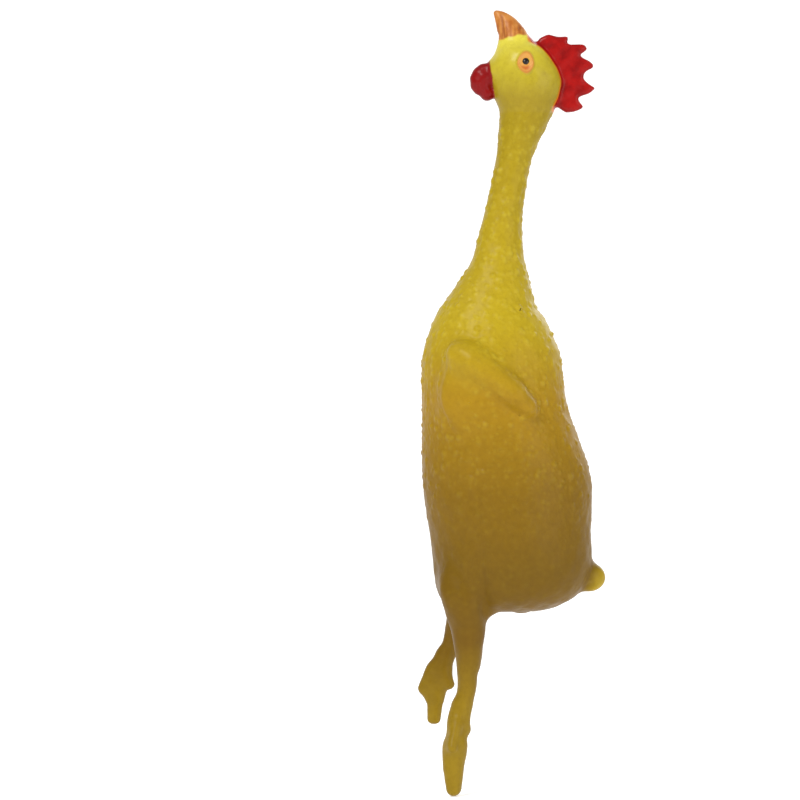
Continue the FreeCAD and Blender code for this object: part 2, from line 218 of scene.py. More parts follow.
def limb_of(node, towards, pieces=1):
    """Tapered limbs along a CAD node: (start, end, start radius, end radius) of each."""
    points = node_points(node)
    centre = points.mean(0)
    way = np.linalg.svd(points - centre, full_matrices=False)[2][0]
    if way @ (np.array(towards) - centre) < 0:
        way = -way
    along = (points - centre) @ way
    low, high = along.min(), along.max()
    edges = np.linspace(low, high, pieces + 2)
    stations = []
    for a, b in zip(edges, edges[1:]):
        here = points[(along >= a - 0.3) & (along <= b + 0.3)]
        mid = here.mean(0)
        off = here - mid - np.outer((here - mid) @ way, way)
        stations.append([mid, np.percentile(np.linalg.norm(off, axis=1), 85)])
    first, last = stations[0][1], stations[-1][1]
    stations[0][0] = stations[0][0] + way * (low + first - (stations[0][0] - centre) @ way)
    stations[-1][0] = stations[-1][0] + way * (high - last - (stations[-1][0] - centre) @ way)
    return [(a[0], b[0], a[1], b[1]) for a, b in zip(stations, stations[1:])]


def polygon_distance(x, z, outline):
    """Signed distance in the X-Z plane to a closed outline, below 0 inside it."""
    best = np.full(x.shape, 1e9)
    inside = np.zeros(x.shape, bool)
    for (ax, az), (bx, bz) in zip(outline, np.roll(outline, -1, axis=0)):
        ex, ez = bx - ax, bz - az
        t = np.clip(((x - ax) * ex + (z - az) * ez) / (ex * ex + ez * ez), 0, 1)
        best = np.minimum(best, np.hypot(x - ax - t * ex, z - az - t * ez))
        crosses = ((az > z) != (bz > z)) & (x < (bx - ax) * (z - az) / (bz - az + 1e-12) + ax)
        inside ^= crosses
    return np.where(inside, -best, best)


def rounded(points):
    """A closed outline with its corners cut by one pass of Chaikin's rule."""
    points = np.array(points, float)
    after = np.roll(points, -1, axis=0)
    points = np.stack([points * 0.75 + after * 0.25, points * 0.25 + after * 0.75], 1)
    return points.reshape(-1, 2)


# Comb outline as shares of its CAD box, from the crown round the points to the head's own side.
COMB_OUTLINE = [
    (-0.01, 0.93), (0.07, 0.96), (0.17, 1.00), (0.24, 0.98), (0.32, 0.96), (0.41, 0.96),
    (0.49, 0.97), (0.52, 0.96), (0.51, 0.92), (0.49, 0.885), (0.55, 0.86), (0.62, 0.867),
    (0.70, 0.872), (0.78, 0.867), (0.835, 0.84), (0.86, 0.80), (0.81, 0.768), (0.735, 0.74),
    (0.75, 0.71), (0.81, 0.68), (0.89, 0.655), (0.955, 0.62), (0.965, 0.58), (0.925, 0.55),
    (0.86, 0.532), (0.805, 0.505), (0.785, 0.46), (0.80, 0.42), (0.875, 0.375), (0.96, 0.33),
    (1.01, 0.31), (0.96, 0.28), (0.875, 0.237), (0.79, 0.217), (0.71, 0.198), (0.685, 0.175),
    (0.72, 0.133), (0.785, 0.085), (0.765, 0.05), (0.68, 0.02), (0.57, 0.004), (0.485, -0.005),
    (0.43, 0.02), (0.36, 0.05), (0.21, 0.12), (0.09, 0.46), (-0.11, 0.79),
]


def side_y(low, high, sign):
    """How far out a wing's middle lies, from its box."""
    return sign * (min(abs(low[1]), abs(high[1])) * 0.72 + max(abs(low[1]), abs(high[1])) * 0.28)


# Each palm down from its ankle, a flat paddle: along X and Z from the joint, and radius.
PALMS = {
    "left": [
        (0.3, 1.5, 2.5), (-0.2, -2.0, 2.75), (-1.0, -5.5, 2.9), (-1.35, -9.0, 3.3),
        (-1.8, -12.0, 3.15), (-2.5, -16.5, 2.4), (-2.5, -19.5, 1.9), (-2.1, -22.0, 1.45),
    ],
    "right": [(0.3, 1.0, 2.3), (-0.8, -2.0, 2.6), (-2.2, -5.5, 2.85), (-3.3, -9.5, 2.6)],
}
PALM_DEPTH = 0.8            # a palm's depth as a share of its width
WEB_HALF = np.array([7.5, 2.6, 9.5])    # half sizes of the wing's soft fold, below its arm

TAIL_HALF, TAIL_DIMPLE = (5.2, 4.0), (1.6, 1.5, 1.1)    # half sizes: along X and Y, and of all
PLUG_HALF = (3.1, 3.0, 1.0)
CHIN_RADII, BEAK_TIP_RADII = (6.0, 2.7), (1.6, 0.75)    # from the head outwards

# How wide a fillet blends each feature into what it grows out of.
FILLETS = {
    "leg": 4.5, "palm": 2.2, "toe": 3.0, "wing": 3.6, "wing_fold": 6.0, "tail": 2.4,
    "plug": 0.5, "chin": 3.0, "beak": 2.2, "comb": 0.9, "wattle": 0.9,
}

# Each toe: the share of the way to the ankle that it starts at, so that it grows out of the
# palm, and how thick it starts, against its CAD toe.
TOES = [("outer", 0.35, 1.0), ("middle", 0.3, 1.3), ("inner", 0.3, 1.2), ("hind", 0.25, 1.0)]


class Chicken:
    """The distance field of the whole moulding, and which feature each point belongs to."""

    def __init__(self):
        neck = [f"neck_{n}_skin" for n in ("lower", "middle", "upper", "top")]
        bend, sway, nod = (joint_place(n)[2] for n in ("neck_bend", "neck_sway", "head_nod"))
        twist = joint_place("neck_twist")[2]
        stretch = (box("neck_lower_skin")[1][2] + box("neck_middle_skin")[0][2]) / 2
        web = [(height + way * 1.6, 2.2) for height, way in zip(self.flank_ends(), (-1, 1))]
        self.trunk = Chain(
            ["torso_skin", "left_flank", "right_flank", *neck, "head_skin"],
            [*web, (bend, 6.5), (stretch, 1.6), (sway, 4.5), (twist, 1.6), (nod, 6.0)],
        )
        self.legs, self.palms, self.toes = {}, {}, {}
        for side in SIDES:
            hip, ankle, curl = (
                joint_place(f"{side}_{n}") for n in ("hip_swing", "ankle_bend", "toe_curl")
            )
            parts = [f"{side}_{n}" for n in ("thigh", "upper_leg", "lower_leg", "foot")]
            pull = (box(parts[1])[0][2] + box(parts[2])[1][2]) / 2
            skipped = [(hip[2], 2.2), (pull, 0.8), (ankle[2], 1.8)]
            self.legs[side] = Chain(parts, skipped, blur=1.0)
            self.legs[side].low = ankle[2] - 3.5
            self.palms[side] = [
                (ankle + [dx, (curl - ankle)[1] * min(1.0, dz / (curl - ankle)[2]), dz], radius)
                for dx, dz, radius in PALMS[side]
            ]
            top = box(parts[3])[1]
            self.toes[side] = []
            for toe, towards_ankle, thick in TOES:
                node = f"{side}_{toe}_toe"
                tip = middle(node) + (middle(node) - (middle(parts[3]) * [1, 1, 0] + [0, 0, top[2]]))
                start, end, wide, narrow = limb_of(node, tip)[0]
                start = start + (ankle - start) * towards_ankle
                self.toes[side].append((start, end, wide * thick, narrow))
        crown = box("head_skin")[1][2]
        self.beak = Chain(["upper_beak", "lower_beak"], [(crown - 3.0, 4.0)], blur=0.5, pitch=0.4)
        self.beak.low = crown - 5.0
        low, high = box("comb")
        shape = rounded(COMB_OUTLINE)
        self.comb = low[[0, 2]] + shape * (high - low)[[0, 2]]
        self.comb_depth = (high - low)[1] / 2
        self.tail, self.wattle, self.plug = (box(n) for n in ("tail", "wattle", "fill_plug"))

    def flank_ends(self):
        """Heights of the lower and the upper end of the side panels."""
        low, high = box("left_flank")
        return low[2], high[2]

    def trunk_distance(self, p):
        return self.trunk.distance(p, 4.0, 4.0)

    def comb_distance(self, p):
        flat = polygon_distance(p[..., 0], p[..., 2], self.comb)
        # The comb thins from its root to its points, and its edge is round.
        root = JOINTS["comb_flop"]["pos_m"][0] / MM
        thin = np.clip((p[..., 0] - root) / (self.comb[:, 0].max() - root), 0, 1)
        half = self.comb_depth * (1.12 - 0.5 * thin)
        return soft_max(flat, np.abs(p[..., 1]) - half, 1.3)

    def wattle_distance(self, p):
        low, high = self.wattle
        centre, half = (low + high) / 2, (high - low) / 2
        upper = ellipsoid(p, centre + [0.35, 0, 1.0], half * [1.15, 1.0, 0.86], 0.3)
        lower = ellipsoid(p, centre + [1.6, 0, -3.2], half * [0.72, 0.82, 0.38], 0.5)
        return soft_min(upper, lower, 0.8)

    def chin_distance(self, p):
        """The wedge of the head that the wattle hangs from."""
        low, high = box("head_skin")
        back = np.array([(low[0] + high[0]) / 2, 0, self.wattle[1][2] - 0.6])
        front = np.array([self.wattle[1][0] + 0.9, 0, self.wattle[1][2] - 1.8])
        return limb(p, back, front, *CHIN_RADII)

    def tail_distance(self, p):
        low, high = self.tail
        half = np.array([*TAIL_HALF, (high - low)[2] / 2])
        centre = np.array([high[0] - half[0] - 0.2, 0, (low + high)[2] / 2])
        dimple = ellipsoid(p, centre + [0.6, -4.2, -2.4], np.array(TAIL_DIMPLE))
        return soft_max(ellipsoid(p, centre, half, 0.15), -dimple, 1.2)

    def beak_distance(self, p):
        """The beak, with its tip hooked a little forward."""
        low = box("lower_beak")[0]
        tip = np.array([low[0] - 0.1, 0, box("upper_beak")[1][2] - 0.9])
        base = np.array([low[0] + 1.9, 0, tip[2] - 4.5])
        return soft_min(self.beak.distance(p), limb(p, base, tip, *BEAK_TIP_RADII), 1.2)

    def plug_distance(self, p):
        low, high = self.plug
        centre = np.array([*((low + high) / 2)[:2], low[2] + 0.9])
        return ellipsoid(p, centre, np.array(PLUG_HALF))

    def features(self):
        """Every feature as (name, field, fillet, box that it lies in)."""
        found = []

        def add(name, field, kind, low, high, room=4.0):
            found.append((name, field, FILLETS[kind], np.array(low) - room, np.array(high) + room))

        for side in SIDES:
            parts = [f"{side}_{n}" for n in ("thigh", "upper_leg", "lower_leg", "foot")]
            low, high = (np.array([box(n)[i] for n in parts]) for i in (0, 1))
            leg = self.legs[side]
            add(f"{side}_leg", lambda p, c=leg: c.distance(p, 4.0, 18.0), "leg", low.min(0), high.max(0))
            palm = self.palms[side]
            ends = np.array([place for place, _ in palm])
            add(f"{side}_leg", lambda p, c=palm: tube(p, c, PALM_DEPTH), "palm", ends.min(0), ends.max(0))
            for toe in self.toes[side]:
                ends = np.array([toe[0], toe[1]])
                add(f"{side}_leg", lambda p, t=toe: limb(p, *t), "toe", ends.min(0), ends.max(0))
            wing = limb_of(f"{side}_wing", box("tail")[1] * [1, 0, 1], pieces=5)
            low, high = box(f"{side}_wing")
            for part in wing:
                add("wing", lambda p, t=part: limb(p, *t), "wing", low, high, 5.0)
            web = np.array([low[0] * 0.72 + high[0] * 0.28, side_y(low, high, SIDES[side]), low[2] + 8])
            add("wing", lambda p, c=web: ellipsoid(p, c, WEB_HALF, 0.6), "wing_fold", web - 12, web + 12)
        add("tail", self.tail_distance, "tail", *self.tail)
        add("plug", self.plug_distance, "plug", *self.plug)
        beak = np.array([box("upper_beak"), box("lower_beak")])
        add("trunk", self.chin_distance, "chin", *box("head_skin"))
        add("beak", self.beak_distance, "beak", beak[:, 0].min(0) - [0, 0, 3], beak[:, 1].max(0))
        add("comb", self.comb_distance, "comb", *box("comb"))
        add("wattle", self.wattle_distance, "wattle", *self.wattle)
        return found

    def grid(self, low, high):
        """The whole field on a grid, and its lines along X, Y and Z."""
        lines = [np.arange(a, b + STEP, STEP) for a, b in zip(low, high)]
        shape = [len(line) for line in lines]
        field = np.empty(shape, np.float32)
        for i, z in enumerate(lines[2]):
            x, y = np.meshgrid(lines[0], lines[1], indexing="ij")
            field[:, :, i] = self.trunk_distance(np.stack([x, y, np.full_like(x, z)], -1))
        for _, distance, fillet, start, end in self.features():
            first = [np.searchsorted(line, v) for line, v in zip(lines, start)]
            last = [np.searchsorted(line, v) for line, v in zip(lines, end)]
            window = tuple(slice(a, b) for a, b in zip(first, last))
            p = np.stack(np.meshgrid(*(l[w] for l, w in zip(lines, window)), indexing="ij"), -1)
            field[window] = soft_min(field[window], distance(p), fillet)
        return field, lines

    def label(self, p):
        """The feature whose own field is lowest at each point, 'trunk' where none is."""
        best = self.trunk_distance(p)
        names = np.full(len(p), "trunk", dtype="<U12")
        for name, distance, _, start, end in self.features():
            near = np.all((p > start) & (p < end), axis=1)
            if not near.any():
                continue
            d = distance(p[near])
            lower = d < best[near]
            index = np.flatnonzero(near)[lower]
            best[index] = d[lower]
            names[index] = name
        return names


# ---------------------------------------------------------------- surface from the field
def surface_net(field):
    """Vertices (in grid steps) and outward quads of the surface where the field is 0."""
    inside = field < 0
    points, cells, flips = [], [], []
    shape = np.array(field.shape)
    for axis in range(3):
        near = [slice(None)] * 3
        far = [slice(None)] * 3
        near[axis], far[axis] = slice(None, -1), slice(1, None)
        start, end = field[tuple(near)], field[tuple(far)]
        at = np.argwhere(inside[tuple(near)] != inside[tuple(far)])
        b, c = (axis + 1) % 3, (axis + 2) % 3
        at = at[(at[:, b] > 0) & (at[:, c] > 0)]
        f0, f1 = start[tuple(at.T)], end[tuple(at.T)]
        crossing = at.astype(float)
        crossing[:, axis] += f0 / (f0 - f1)
        corners = []
        for db, dc in ((-1, -1), (0, -1), (0, 0), (-1, 0)):
            cell = at.copy()
            cell[:, b] += db
            cell[:, c] += dc
            corners.append(np.ravel_multi_index(cell.T, shape))
        points.append(crossing)
        cells.append(np.stack(corners, 1))
        flips.append(f0 > 0)
    points, cells, flips = np.concatenate(points), np.concatenate(cells), np.concatenate(flips)
    ids, index = np.unique(cells, return_inverse=True)
    index = index.reshape(-1, 4)
    count = np.bincount(index.ravel(), minlength=len(ids))
    vertices = np.stack([
        np.bincount(index.ravel(), np.repeat(points[:, i], 4), len(ids)) / count
        for i in range(3)
    ], 1)
    index[flips] = index[flips][:, ::-1]
    return vertices, index


def relaxed(vertices, quads, passes, share=0.5):
    """Vertices moved towards the mean of their neighbours."""
    pairs = np.concatenate([quads[:, [i, (i + 1) % 4]] for i in range(4)])
    pairs = np.concatenate([pairs, pairs[:, ::-1]])
    count = np.bincount(pairs[:, 0], minlength=len(vertices))
    for _ in range(passes):
        mean = np.stack([
            np.bincount(pairs[:, 0], vertices[pairs[:, 1], i], len(vertices)) / count
            for i in range(3)
        ], 1)
        vertices = vertices * (1 - share) + mean * share
    return vertices


def sampled(field, at):
    """Trilinear values of a grid at places given in grid steps."""
    base = np.clip(np.floor(at).astype(int), 0, np.array(field.shape) - 2)
    part = at - base
    total = np.zeros(len(at))
    for corner in np.ndindex(2, 2, 2):
        weight = np.prod(np.where(corner, part, 1 - part), axis=1)
        total += weight * field[tuple((base + corner).T)]
    return total


def onto_surface(field, vertices):
    """Vertices moved along the field's slope onto the surface."""
    half = 0.5
    slope = np.stack([
        sampled(field, vertices + half * unit) - sampled(field, vertices - half * unit)
        for unit in np.eye(3)
    ], 1)
    size = (slope**2).sum(1, keepdims=True) + 1e-9
    move = sampled(field, vertices)[:, None] * slope / size
    return vertices - np.clip(move, -0.5, 0.5)


def vertex_normals(vertices, quads):
    a, b, c, d = (vertices[quads[:, i]] for i in range(4))
    face = np.cross(c - a, d - b)
    total = np.stack([
        sum(np.bincount(quads[:, i], face[:, k], len(vertices)) for i in range(4))
        for k in range(3)
    ], 1)
    return total / (np.linalg.norm(total, axis=1, keepdims=True) + 1e-12)


# ---------------------------------------------------------------- moulded texture
def hashed(cells, salt):
    """Three even random numbers for each whole-number cell."""
    c = cells.astype(np.int64)
    n = c[:, 0] * 73856093 ^ c[:, 1] * 19349663 ^ c[:, 2] * 83492791 ^ (salt * 2654435761)
    out = []
    for k in range(3):
        m = (n + k * 374761393) & 0xFFFFFFFF
        m = ((m ^ (m >> 15)) * 2246822519) & 0xFFFFFFFF
        m = ((m ^ (m >> 13)) * 3266489917) & 0xFFFFFFFF
        out.append(((m ^ (m >> 16)) & 0xFFFFFF) / 0x1000000)
    return np.stack(out, 1)


def dots(p, spacing, radius, salt, kept):
    """Round bumps scattered in space: 1 at the middle of each, 0 away from them."""
    cell = np.floor(p / spacing).astype(int)
    best = np.zeros(len(p))
    for step in np.ndindex(3, 3, 3):
        here = cell + np.array(step) - 1
        spot = hashed(here, salt)
        chance = hashed(here, salt + 11)
        at = (here + 0.15 + 0.7 * spot) * spacing
        size = radius * (0.65 + 0.7 * chance[:, 1])
        d = np.linalg.norm(p - at, axis=1) / size
        bump = np.clip(1 - d * d, 0, 1) ** 1.5 * (0.5 + 0.5 * chance[:, 2])
        best = np.maximum(best, np.where(chance[:, 0] < kept, bump, 0))
    return best


def step_up(x, low, high):
    t = np.clip((x - low) / (high - low), 0, 1)
    return t * t * (3 - 2 * t)


# Each kind of dot on the skin: spacing, radius, own seed, and the share of them that is kept.
FINE_DOTS, COARSE_DOTS = (1.6, 0.70, SEED, 0.8), (2.5, 1.10, SEED + 1, 0.7)
NUBS, SPECKS = (6.0, 1.0, SEED + 2, 0.55), (3.1, 0.6, SEED + 3, 0.5)
# Heights of the goosebumps, the scattered nubs and the uneven wave of the moulding.
FINE_RISE, COARSE_RISE, NUB_RISE, WAVE_RISE = 0.22, 0.46, 0.80, 0.14


class Skin:
    """The moulding's whole surface, with the features and textures of each point on it."""

    def __init__(self, chicken):
        low, high = (np.array(corner) / MM for corner in cad_box)
        field, lines = chicken.grid(low - 3.0, high + 3.0)
        vertices, self.quads = surface_net(field)
        vertices = relaxed(vertices, self.quads, 3)
        vertices = onto_surface(field, vertices)
        vertices = relaxed(vertices, self.quads, 1, 0.35)
        self.co = vertices * STEP + np.array([line[0] for line in lines])
        self.features = chicken.label(self.co)
        self.masks = {}
        self.chicken = chicken
        self.low_z, self.height = self.co[:, 2].min(), np.ptp(self.co[:, 2])
        self.paint(chicken)
        self.texture(chicken)
        self.normals = vertex_normals(self.co, self.quads)

    def paint(self, chicken):
        """How much each painted feature covers a point, from 0 to 1, with soft edges."""
        p, trunk = self.co, chicken.trunk_distance(self.co)
        self.masks["comb"] = step_up(trunk - chicken.comb_distance(p), -2.6, -0.2)
        self.masks["comb"] *= p[:, 0] > joint_place("comb_flop")[0] - 4
        self.masks["wattle"] = step_up(trunk - chicken.wattle_distance(p), -0.7, -0.1)
        self.masks["wattle"] *= p[:, 0] < joint_place("wattle_swing")[0] + 3
        chin = chicken.chin_distance(p) - chicken.wattle_distance(p)
        self.masks["wattle"] *= step_up(chin, -0.9, -0.3)
        # The beak's paint starts along a line that rises towards the comb.
        top, front = box("upper_beak")[1][2], box("lower_beak")[0][0]
        line = top - 9.3 + 0.24 * np.clip(p[:, 0] - front, 0, 7) + 0.15 * np.sin(p[:, 0] * 2.1)
        beak = step_up(trunk - chicken.beak_distance(p), -2.6, -1.6)
        self.masks["beak"] = beak * step_up(p[:, 2] - line, -0.25, 0.35)
        # Height up the body, which picks the rubber's colour, painted light and shade included.
        self.masks["height"] = (p[:, 2] - self.low_z) / self.height

    def beak_lines(self):
        """The groove of the mouth, the nostril and the streaks at the beak's base."""
        low, high = box("lower_beak")
        upper_low, upper_high = box("upper_beak")
        p = self.co
        share = np.clip((p[:, 2] - low[2]) / (high[2] - low[2]), 0, 1)
        mouth_x = high[0] + (upper_low[0] + 0.6 - high[0]) * share**1.15
        beak = self.masks["beak"]
        mouth = beak * np.exp(-((p[:, 0] - mouth_x) / 0.26) ** 2) * step_up(p[:, 2], low[2], low[2] + 2)
        mouth *= step_up(-p[:, 2], -high[2] + 0.2, -high[2] + 2.0)
        nostril = np.zeros(len(p))
        for sign in SIDES.values():
            x = p[:, 0] - (upper_low[0] + 0.62 * (upper_high[0] - upper_low[0]))
            z = p[:, 2] - (upper_low[2] + 0.42 * (upper_high[2] - upper_low[2]))
            nostril += (p[:, 1] * sign > 0.6) * np.exp(-((x / 0.42) ** 2 + (z / 0.75) ** 2))
        streak = np.clip(np.sin(p[:, 0] * 5.2 + 0.6 * np.sin(p[:, 2] * 1.7)), 0, 1)
        fade = step_up(-p[:, 2], -(low[2] + 7.5), -(low[2] + 4.0))
        # The mouth groove and the nostrils, which are darkened as painted shade.
        self.masks["groove"] = np.clip(mouth + nostril, 0, 1)
        self.masks["streak"] = beak * streak * fade
        return -0.24 * mouth - 0.36 * nostril - 0.07 * self.masks["streak"]

    def texture(self, chicken):
        """Goosebumps, specks, creases and soft waves, pushed out along the surface's normals."""
        p, z = self.co, self.co[:, 2]
        normals = vertex_normals(p, self.quads)
        eye = middle("left_eye_ring")
        by_eye = np.exp(-(((p[:, 0] - eye[0]) / 3.6) ** 2 + ((z - eye[2]) / 4.2) ** 2) ** 2)
        painted = np.maximum.reduce([self.masks[n] for n in ("comb", "wattle", "beak")])
        nod, bend = joint_place("head_nod")[2], joint_place("neck_bend")[2]
        belly = box("left_flank")[0][2] + 12
        leg = np.char.endswith(self.features, "_leg")
        bumpy = 0.16 + 0.84 * step_up(-z, -nod - 9, -nod + 1)
        bumpy *= (0.22 + 0.78 * step_up(z, belly - 14, belly + 22)) * (1 - by_eye)
        bumpy *= np.where(leg & (z < box("torso_skin")[0][2] + 2), 0.45, 1.0)
        bumpy *= np.where(self.features == "wing", 0.4, 1.0) * (1 - painted)
        bumpy *= np.where(self.features == "tail", 0.2, 1.0)
        fine = dots(p, *FINE_DOTS)
        coarse = dots(p, *COARSE_DOTS)
        nubs = dots(p, *NUBS) * step_up(z, bend - 30, bend - 6)
        upper = 0.4 + 0.6 * step_up(z, 0.0, 45.0)
        self.masks["bump"] = np.clip(bumpy * upper * np.maximum(0.7 * fine, coarse), 0, 1)
        # The tail is painted paler where it stands out of the trunk: painted light falling on it from
        # behind.
        self.masks["tail"] = step_up(chicken.trunk_distance(p), -0.5, 5.0) * (self.features == "tail")
        self.masks["speck"] = (1 - painted) * dots(p, *SPECKS)
        wave = np.sin(p[:, 0] * 0.9 + 1.3) * np.sin(p[:, 1] * 0.8) * np.sin(z * 0.63 + 0.4)
        rise = bumpy * (FINE_RISE * fine + COARSE_RISE * coarse + NUB_RISE * nubs)
        rise += WAVE_RISE * wave * (1 - painted)
        rise += self.thigh_crease(p)
        rise += self.beak_lines()
        rise += self.masks["comb"] * (0.10 * np.sin(p[:, 2] * 1.3) * np.sin(p[:, 0] * 1.1))
        rise += self.masks["wattle"] * 0.10 * np.sin(p[:, 2] * 1.9) * np.sin(p[:, 0] * 1.4 + 0.8)
        self.co = p + normals * rise[:, None]

    def thigh_crease(self, p):
        """The shallow crease up the body behind each thigh."""
        rise = np.zeros(len(p))
        low, high = box("left_thigh")
        for sign in SIDES.values():
            top = high[2] + 8
            line = high[0] - 0.8 - 0.10 * (p[:, 2] - low[2])
            fade = step_up(p[:, 2], low[2] + 2, low[2] + 7) * step_up(-p[:, 2], -top, -top + 14)
            side = (p[:, 1] * sign > 5) & (self.features != "tail")
            rise -= side * fade * 0.85 * np.exp(-((p[:, 0] - line) / 1.7) ** 2)
            rise += side * fade * 0.75 * np.exp(-((p[:, 0] - line + 5.5) / 4.2) ** 2)
        # The crease's depth, which also darkens its colour as painted shade.
        self.masks["crease"] = np.clip(-rise, 0, 1)
        return rise


# ---------------------------------------------------------------- cutting the skin into pieces
def zone_faces(skin):
    """The name of the piece that each quad belongs to."""
    centre = skin.co[skin.quads].mean(1)
    votes = skin.features[skin.quads]
    feature = np.where(votes[:, 0] == votes[:, 2], votes[:, 0], votes[:, 1])
    z = centre[:, 2]
    names = np.where(centre[:, 1] < 0, "body_left", "body_right").astype("<U24")
    cuts = [
        ("neck_base", BEND[0]), ("neck_stretch", PULL[0]), ("neck_sway", SWAY[0]),
        ("neck_twist", TWIST[0]), ("neck_nape", NOD[0]), ("head", NOD[3]),
    ]
    for name, height in cuts:
        names[z > height] = name
    for side in SIDES:
        mine = (feature == f"{side}_leg") & (z < LEG_TOP)
        for name, height in LEG_CUTS[side]:
            names[mine & (z < height)] = f"{side}_{name}"
    names[feature == "tail"] = "tail"
    names[feature == "plug"] = "plug"
    names[(feature == "comb") & (z > NOD[3])] = "comb"
    names[(feature == "wattle") & (z > NOD[3])] = "wattle"
    mouth = box("lower_beak")[1][0]
    names[(feature == "beak") & (z > NOD[3])] = "upper_beak"
    low, high = box("lower_beak")
    share = np.clip((z - low[2]) / (high[2] - low[2]), 0, 1)
    front = centre[:, 0] < mouth + (box("upper_beak")[0][0] + 0.6 - mouth) * share**1.15
    names[(names == "upper_beak") & front] = "lower_beak"
    return names


def around(name, before, after, margin=0.9):
    """Heights round a joint: its lower cut, a height a margin above it, a height a margin below
    the upper cut, and the upper cut."""
    z = joint_place(name)[2]
    return z - before, z - before + margin, z + after - margin, z + after


BEND = around("neck_bend", 6.0, 6.5)
SWAY = around("neck_sway", 5.5, 4.5)
TWIST = (SWAY[3], SWAY[3] + 0.9, SWAY[3] + 8.1, SWAY[3] + 9.0)
NOD = (TWIST[3], TWIST[3] + 0.9, joint_place("head_nod")[2] + 4.4, joint_place("head_nod")[2] + 5.3)
PULL = (BEND[3], BEND[3] + 0.9, SWAY[0] - 0.9, SWAY[0])
LEG_TOP = box("torso_skin")[0][2] - 1.8


def leg_cuts(side):
    """Heights below which each piece of a leg starts, from the hip down."""
    hip, ankle = (joint_place(f"{side}_{n}")[2] for n in ("hip_swing", "ankle_bend"))
    pull = (box(f"{side}_upper_leg")[0][2] + box(f"{side}_lower_leg")[1][2]) / 2
    return [
        ("hip", LEG_TOP), ("shank", (hip + pull) / 2), ("ankle", (pull + ankle) / 2),
        ("foot", ankle - (pull + hip - 2 * ankle) / 8 - 1.2),
    ]


LEG_CUTS = {side: leg_cuts(side) for side in SIDES}


def in_scene(name, data):
    """A new object of this data, linked to the scene."""
    thing = bpy.data.objects.new(name, data)
    bpy.context.scene.collection.objects.link(thing)
    return thing


def make_mesh(name, co, faces, normals, masks):
    """A mesh object of these millimetre points, with the whole skin's normals and masks."""
    mesh = bpy.data.meshes.new(name)
    mesh.from_pydata((co * MM).tolist(), [], faces)
    mesh.update()
    for mask, values in masks.items():
        attribute = mesh.attributes.new(mask, "FLOAT", "POINT")
        attribute.data.foreach_set("value", values.astype(np.float32))
    mesh.shade_smooth()
    mesh.normals_split_custom_set_from_vertices(normals.tolist())
    return in_scene(name, mesh)


def rim_loops(quads):
    """Closed loops of vertices round the open edges of these quads."""
    edges = np.concatenate([quads[:, [i, (i + 1) % 4]] for i in range(4)])
    seen = {tuple(edge) for edge in edges.tolist()}
    onward = {}
    for a, b in seen:
        if (b, a) not in seen:
            onward.setdefault(b, []).append(a)
    loops = []
    while onward:
        start = next(iter(sorted(onward)))
        loop, at = [start], onward[start].pop()
        if not onward[start]:
            del onward[start]
        while at != start and at in onward:
            loop.append(at)
            following = onward[at].pop()
            if not onward[at]:
                del onward[at]
            at = following
        if len(loop) > 2:
            loops.append(loop)
    return loops


def cut_piece(skin, names, zone, name):
    """One piece of the skin, closed where it was cut by a fan that lies inside the chicken."""
    quads = skin.quads[names == zone]
    used, index = np.unique(quads, return_inverse=True)
    index = index.reshape(-1, 4)
    co, normals = skin.co[used], skin.normals[used]
    masks = {mask: values[used] for mask, values in skin.masks.items()}
    faces = index.tolist()
    for loop in rim_loops(index):
        rim = co[loop]
        centre = rim.mean(0)
        inward = -normals[loop].mean(0)
        hub = len(co)
        co = np.vstack([co, centre])
        normals = np.vstack([normals, inward / (np.linalg.norm(inward) + 1e-9)])
        masks = {m: np.append(v, v[loop].mean()) for m, v in masks.items()}
        faces += [[a, b, hub] for a, b in zip(loop, loop[1:] + loop[:1])]
    return make_mesh(name, co, faces, normals, masks)


# ---------------------------------------------------------------- eyes
EYE_SPOKES, EYE_ROWS, EYE_EDGE = 72, 26, 1.32


def head_side(chicken, x, z, sign):
    """How far out the head's surface lies at these places, seen from the side."""
    inner, outer = np.full(x.shape, 1.0), np.full(x.shape, 16.0)
    for _ in range(24):
        y = (inner + outer) / 2
        inside = chicken.trunk_distance(np.stack([x, sign * y, z], -1)) < 0
        inner, outer = np.where(inside, y, inner), np.where(inside, outer, y)
    return (inner + outer) / 2


def disc_mesh(name, x, y, z, masks, sign):
    """A closed cap from rows of points round a middle, with a hub behind it."""
    rows, spokes = x.shape
    co = np.stack([x, y, z], -1).reshape(-1, 3)
    at = np.arange(rows * spokes).reshape(rows, spokes)
    after = np.roll(at, -1, axis=1)
    quads = np.stack([at[:-1], after[:-1], after[1:], at[1:]], -1).reshape(-1, 4)
    co = np.vstack([co, co[at[0]].mean(0), co[at[-1]].mean(0) - [0, sign * 0.8, 0]])
    front, back = len(co) - 2, len(co) - 1
    faces = quads.tolist() + [[a, front, b] for a, b in zip(at[0], after[0])]
    faces += [[a, b, back] for a, b in zip(at[-1], after[-1])]
    if sign < 0:
        faces = [face[::-1] for face in faces]
        quads = quads[:, ::-1]
    normals = vertex_normals(co, quads)
    normals[front], normals[back] = (0, sign, 0), (0, -sign, 0)
    grown = {
        mask: np.append(values.ravel(), [values[0].mean(), values[-1].mean()])
        for mask, values in masks.items()
    }
    return make_mesh(name, co, [[int(i) for i in face] for face in faces], normals, grown)


